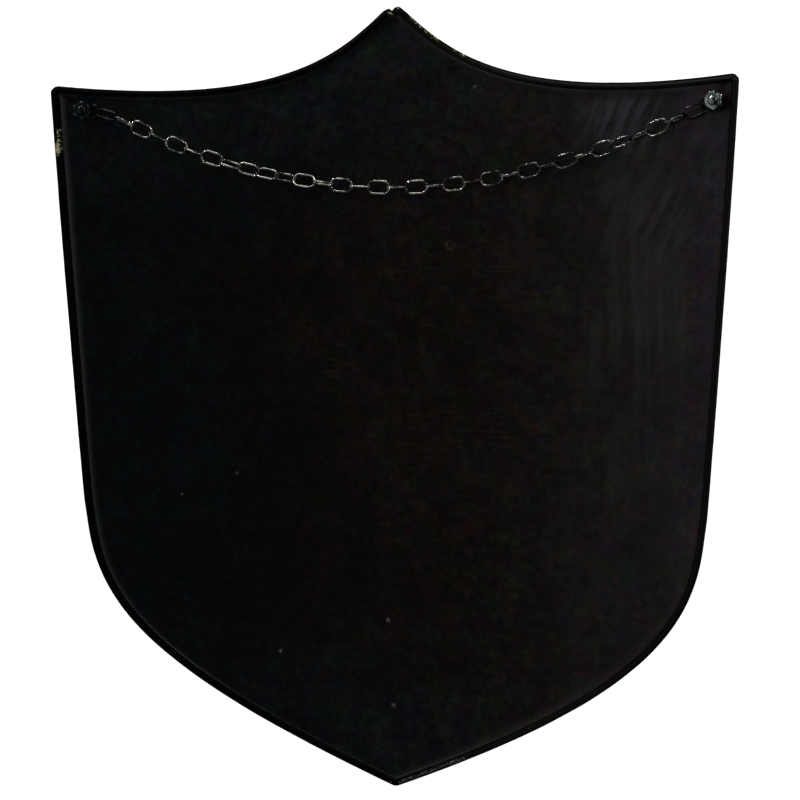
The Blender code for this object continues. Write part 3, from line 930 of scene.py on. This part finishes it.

# Colours of the paint by region, of what is rubbed through it or painted on it as sheen, and of the roll
LEFT_BLUE = (0.0016, 0.0034, 0.0038)
LEFT_PLUM = (0.0030, 0.0022, 0.0026)
MIDDLE_BROWN = (0.0076, 0.0050, 0.0041)
# The lighter right-hand colours are partly the paint's tone and partly painted sheen.
RIGHT_GREY_AND_SHEEN = (0.0085, 0.0074, 0.0072)
RIGHT_MAUVE_AND_SHEEN = (0.0150, 0.0105, 0.0145)
END_BLUE = (0.0050, 0.0072, 0.0080)
STAIN_BROWN = (0.0150, 0.0078, 0.0036)
LINE_BROWN = (0.050, 0.026, 0.010)
# Grey of the streaks: partly rubbed paint, partly painted sheen.
SHEEN_AND_RUBBED_GREY = (0.042, 0.042, 0.037)
SMUDGE_GREY = (0.055, 0.060, 0.075)
RING_MARK_GREY = (0.09, 0.085, 0.08)
SPECK_GREY = (0.22, 0.21, 0.18)
# The roll's near black on the left is painted shade, its grey on the right painted sheen.
ROLL_LEFT_SHADE = (0.0035, 0.0037, 0.0038)
ROLL_RIGHT_SHEEN = (0.022, 0.021, 0.021)
ROLL_RUST = (0.018, 0.009, 0.007)
ROLL_OLIVE = (0.018, 0.018, 0.009)
# Colour of the painted highlight by the tip.
ROLL_PAINTED_HIGHLIGHT = (0.34, 0.29, 0.28)
CHIP_BRASS = (0.90, 0.84, 0.52)
BRASS_STOPS = ((0.30, (0.055, 0.036, 0.018)), (0.48, (0.26, 0.17, 0.065)), (0.70, (0.46, 0.33, 0.13)))
# Black of the painted shadow on the chain by the nuts.
NUT_SHADOW_BLACK = (0.02, 0.02, 0.02)

# Where the chain is painted black as the shadow by the bolts, from its middle, and where painted shade makes
# it duller to the right
END_MIDDLE_X = 0.004
NUT_SHADOW_X = (0.206, 0.222)
RIGHT_SHADE_X = (-0.02, 0.15)


def mottled_hue(finish):
    """A fine change of hue, as a colour to multiply with."""
    sockets = {"Vector": finish.place, "Scale": 1 / 0.016, "Detail": 6.0, "Roughness": 0.85}
    hue = finish.node("ShaderNodeTexNoise", {}, sockets, "Color")
    hue = finish.times_plus(hue, (6.5, 6.5, 6.5), (-2.2, -2.2, -2.2))
    return finish.node("ShaderNodeVectorMath", {"operation": "MAXIMUM"}, {0: hue, 1: (0.15, 0.15, 0.15)})


def ground_paint(finish, x, y, broad, fine):
    """Paint, dark blue-green on the left, brown in the middle and lighter mauve on the right, all of it
    mottled; the lightening to the right is partly painted sheen.
    """
    hue = mottled_hue(finish)
    blotch = (finish.clouds(0.045, 4.0, 0.65, shift=2.1) - 0.5) * 2.6 + 1.0
    uneven = x + (broad - 0.5) * 0.4
    paint = finish.mixed(uneven.between(*PLUM_X), LEFT_BLUE, LEFT_PLUM)
    paint = finish.mixed(uneven.between(*BROWN_X), paint, MIDDLE_BROWN)
    # Lighter grey and then mauve to the right: partly the paint's tone, partly painted sheen.
    paint = finish.mixed(x.between(*GREY_AND_SHEEN_X), paint, RIGHT_GREY_AND_SHEEN)
    paint = finish.mixed(x.between(*MAUVE_AND_SHEEN_X), paint, RIGHT_MAUVE_AND_SHEEN)
    ends = y.between(*TOP_END_Y).highest(y.between(*TIP_END_Y)) * x.between(*ENDS_X)
    paint = finish.mixed(ends * 0.8, paint, END_BLUE)
    paint = finish.mixed(1.0, paint, hue, "MULTIPLY")
    mottle = ((fine - 0.5) * 5.0 + 1.1).highest(0.35) * blotch.highest(0.3)
    return finish.mixed(1.0, paint, mottle, "MULTIPLY")


def brown_lines(finish, paint, x, y, broad, across):
    """A brown stain in the middle, with fine brown lines across it."""
    middle = x.within(*LINES_X) * y.within(*LINES_Y)
    stain = finish.clouds(0.035, 3.0, 0.6, shift=3.3).between(0.48, 0.62)
    paint = finish.mixed(middle * stain * 0.35, paint, STAIN_BROWN)
    brown = middle * across.between(0.57, 0.70) * broad.between(0.44, 0.56)
    return finish.mixed(brown * 0.8, paint, LINE_BROWN)


def grey_streaks_and_sheen(finish, paint, x, y, broad):
    """Grey streaks down the right side, partly rubbed and partly painted sheen, and a smudge above the
    chain; gives the paint and where the streaks lie.
    """
    down = finish.clouds(1.0, 3.0, 0.6, place=finish.stretched((120.0, 11.0, 1.0)))
    slanted = finish.clouds(1.0, 3.0, 0.6, place=finish.stretched((110.0, 16.0, 1.0), 0.45))
    high = (y + (broad - 0.5) * 0.3).between(*STREAKS_SLANT_Y)
    streak = down * (1.0 - high) + slanted * high
    side = (x + (broad - 0.5) * 0.2).between(*STREAKS_LEFT_X) * x.between(*STREAKS_RIGHT_X)
    side = side * y.within(*STREAKS_Y) * (1.0 - x.between(*STREAKS_HIGH_X) * high)
    patch = y.within(*SHEEN_PATCH_Y)
    # The streaks and their patch are partly rubbed paint and partly painted sheen.
    sheen_and_rubbed = side * streak.between(0.32, 0.72) * (0.25 + 0.75 * patch)
    paint = finish.mixed(sheen_and_rubbed * 0.9, paint, SHEEN_AND_RUBBED_GREY)
    smudge = x.within(*SMUDGE_X) * y.within(*SMUDGE_Y)
    return finish.mixed(smudge * slanted.between(0.38, 0.62) * 0.8, paint, SMUDGE_GREY), sheen_and_rubbed


def shaken_plan(finish):
    """The place on the plan, shaken a little, so that marks have ragged edges."""
    sockets = {"Vector": finish.place, "Scale": 700.0, "Detail": 2.0}
    shake = finish.node("ShaderNodeTexNoise", {}, sockets, "Color")
    shaken = finish.times_plus(shake, (0.008, 0.008, 0.0), (-0.004, -0.004, 0.0))
    return finish.times_plus(finish.place, (1.0, 1.0, 0.0), shaken)


def rolled_colour(finish, x, y, fine, plan):
    """The roll, near black on the left as painted shade, greyer on the right as painted sheen, rusty by the
    apex and bright by the tip with a painted highlight.
    """
    colour = finish.mixed(x.between(*ROLL_SHEEN_X), ROLL_LEFT_SHADE, ROLL_RIGHT_SHEEN)
    rust = finish.mixed(x.between(*ROLL_OLIVE_X), ROLL_RUST, ROLL_OLIVE)
    near_apex = y.between(*ROLL_RUST_Y) * fine.between(0.35, 0.55)
    colour = finish.mixed(near_apex, colour, rust)
    # The bright strip by the tip is a painted highlight.
    return finish.mixed(finish.spots(plan, TIP_HIGHLIGHT_STRIP), colour, ROLL_PAINTED_HIGHLIGHT)


def paint_finish():
    """Black paint on the back, and the aged brass of the front, told apart by the way the surface faces."""
    finish = Finish("black_paint_on_brass", Specular_IOR_Level=0.35)
    x, y, z = finish.place.parts()
    reach = (x.size() - FLAT_HALF).highest(0.0)
    over = z - (BOW_RADIUS - (BOW_RADIUS ** 2 - reach * reach) ** 0.5)
    rolled = over.between(*ROLL_HEIGHTS)
    front = finish.node("ShaderNodeNewGeometry", output="Normal").parts()[2].between(-0.2, -0.4)
    broad = finish.clouds(0.11, 3.0, 0.6)
    fine = finish.clouds(0.0065, 5.0, 0.8, shift=0.4)
    across = finish.clouds(1.0, 3.0, 0.6, place=finish.stretched((30.0, 420.0, 1.0)))
    plan = shaken_plan(finish)

    paint = ground_paint(finish, x, y, broad, fine)
    paint = brown_lines(finish, paint, x, y, broad, across)
    paint, sheen_and_rubbed = grey_streaks_and_sheen(finish, paint, x, y, broad)
    ring_away = finish.away(plan, RING_MARK) - RING_MARK_RADIUS
    paint = finish.mixed(ring_away.size().between(*RING_MARK_LINE) * 0.5, paint, RING_MARK_GREY)
    paint = finish.mixed(finish.spots(plan, SPECKS) * 0.7, paint, SPECK_GREY)
    paint = finish.mixed(rolled * 0.95, paint, rolled_colour(finish, x, y, fine, plan))
    chip = finish.spots(plan, CHIPS + SLIVER) * over.between(*CHIP_HEIGHTS)
    paint = finish.mixed(chip, paint, CHIP_BRASS)

    patina = finish.clouds(0.035, 6.0, 0.65, shift=1.3)
    brass = finish.node("ShaderNodeValToRGB", {"stops": BRASS_STOPS}, {"Fac": patina})
    finish.feed("Base Color", finish.mixed(front, paint, brass))
    finish.feed("Metallic", (front + rolled * (1.0 - chip)).lowest(0.95))
    gloss = 0.29 + (fine - 0.5) * 0.15 + rolled * 0.1 - sheen_and_rubbed * 0.06
    finish.feed("Roughness", gloss * (1.0 - front) + (0.60 - patina * 0.55) * front)
    finish.relief(fine + across * 0.3, 0.00012, 0.5)
    return finish.material


def steel_finish(name, colour, dark, roughness, painted_shade=0.0, dents=0.0):
    """Worn steel, which can be blackened towards the bolts by painted shadow and to the right by painted
    shade, or have dents of a depth.
    """
    finish = Finish(name, Metallic=1.0)
    mottle = finish.clouds(0.007, 3.0, 0.6)
    steel = finish.node("ShaderNodeValToRGB", {"stops": ((0.40, dark), (0.58, colour))}, {"Fac": mottle})
    x = finish.place.parts()[0]
    # Painted shadow by the nuts and painted shade towards the right.
    shadow_and_shade = (x - END_MIDDLE_X).size().between(*NUT_SHADOW_X).highest(x.between(*RIGHT_SHADE_X) * 0.7)
    finish.feed("Base Color", finish.mixed(shadow_and_shade * painted_shade, steel, NUT_SHADOW_BLACK))
    finish.feed("Roughness", mottle * 0.14 + roughness)
    if dents:
        finish.relief(finish.clouds(0.004, 1.0, 0.4), dents)
    return finish.material


# Floor and light

FLOOR_HALF = 3.0
FLOOR_GAP = 0.0002
FLOOR_PALE = (0.8, 0.8, 0.8, 1.0)
FLOOR_WHITE = (1.0, 1.0, 1.0, 1.0)


def floor_finish():
    """A plain white floor, as bright in the shade as in the light."""
    finish = Finish("white_floor", Roughness=0.9, Specular_IOR_Level=0.0, Emission_Strength=1.0)
    finish.shader.inputs["Base Color"].default_value = FLOOR_PALE
    finish.shader.inputs["Emission Color"].default_value = FLOOR_WHITE
    return finish.material


def make_floor():
    """The floor that the shield lies on."""
    shape = bmesh.new()
    bmesh.ops.create_grid(shape, x_segments=1, y_segments=1, size=FLOOR_HALF)
    mesh = bpy.data.meshes.new("floor")
    shape.to_mesh(mesh)
    shape.free()
    mesh.materials.append(floor_finish())
    floor = bpy.data.objects.new("floor", mesh)
    floor.location.z = -FLOOR_GAP
    floor.visible_diffuse = False
    floor.visible_glossy = False
    bpy.context.scene.collection.objects.link(floor)


# Wide dim cards about the shield, a brighter one past its apex, and three small lamps that make the glints,
# as (name, place, aim, size, brightness, colour)
LIGHTS = (
    ("card_left", (-1.36, 0.15, 1.00), (0.1, 0.05, 0.03), (2.1, 1.8), 0.185, (1.0, 0.93, 0.96)),
    ("card_below", (-0.55, -1.35, 1.10), (0.1, 0.1, 0.0), (1.5, 0.9), 0.28, (0.97, 0.97, 1.0)),
    ("card_right", (1.35, 0.10, 1.05), (0.0, 0.0, 0.0), (1.1, 0.9), 0.60, (0.92, 0.98, 1.0)),
    ("card_top", (-0.10, 1.50, 1.00), (0.0, 0.0, 0.0), (0.8, 0.6), 2.4, (1.0, 1.0, 0.97)),
    ("lamp_left", (-0.95, 1.05, 1.25), (0.0, 0.0, 0.0), (0.15, 0.15), 44.0, (1.0, 1.0, 1.0)),
    ("lamp_right", (1.05, 0.95, 1.20), (0.0, 0.0, 0.0), (0.15, 0.15), 28.0, (1.0, 1.0, 1.0)),
    ("lamp_below", (-1.15, -1.10, 0.95), (0.0, 0.1, 0.0), (0.14, 0.14), 14.0, (1.0, 1.0, 1.0)),
)
STUDIO_GREY = (0.035, 0.035, 0.035, 1.0)


def make_light(name, place, aim, size, brightness, colour):
    """A rectangular light that faces a point."""
    data = bpy.data.lights.new(name, "AREA")
    data.shape = "RECTANGLE"
    data.size, data.size_y = size
    data.energy = brightness * math.pi * size[0] * size[1]
    data.color = colour
    light = bpy.data.objects.new(name, data)
    light.location = place
    light.rotation_euler = (Vector(aim) - Vector(place)).to_track_quat("-Z", "Y").to_euler()
    bpy.context.scene.collection.objects.link(light)


def make_studio():
    """The lights, and the dim room about them."""
    for light in LIGHTS:
        make_light(*light)
    world = bpy.data.worlds.new("studio")
    world.use_nodes = True
    world.node_tree.nodes["Background"].inputs["Color"].default_value = STUDIO_GREY
    bpy.context.scene.world = world
    bpy.context.scene.view_settings.view_transform = "Standard"


make_plate(paint_finish())
chain_steel = steel_finish("chain_steel", (0.95, 0.95, 0.86), (0.12, 0.11, 0.09), 0.04, painted_shade=0.9)
for link in range(LINK_COUNT):
    make_link(link, chain_steel)
# The left nut and bolt are a darker copy of the worn steel: partly more black paint, partly painted shade.
dull_and_shaded_steel = steel_finish("dull_and_shaded_steel", (0.12, 0.16, 0.16), (0.02, 0.03, 0.03), 0.06, dents=0.0006)
worn_steel = steel_finish("worn_steel", (0.52, 0.64, 0.57), (0.06, 0.09, 0.08), 0.04, dents=0.0006)
for hanger_side, hanger_steel in ((-1, dull_and_shaded_steel), (1, worn_steel)):
    make_nut(hanger_side, hanger_steel)
    make_bolt(hanger_side, hanger_steel)
make_floor()
make_studio()
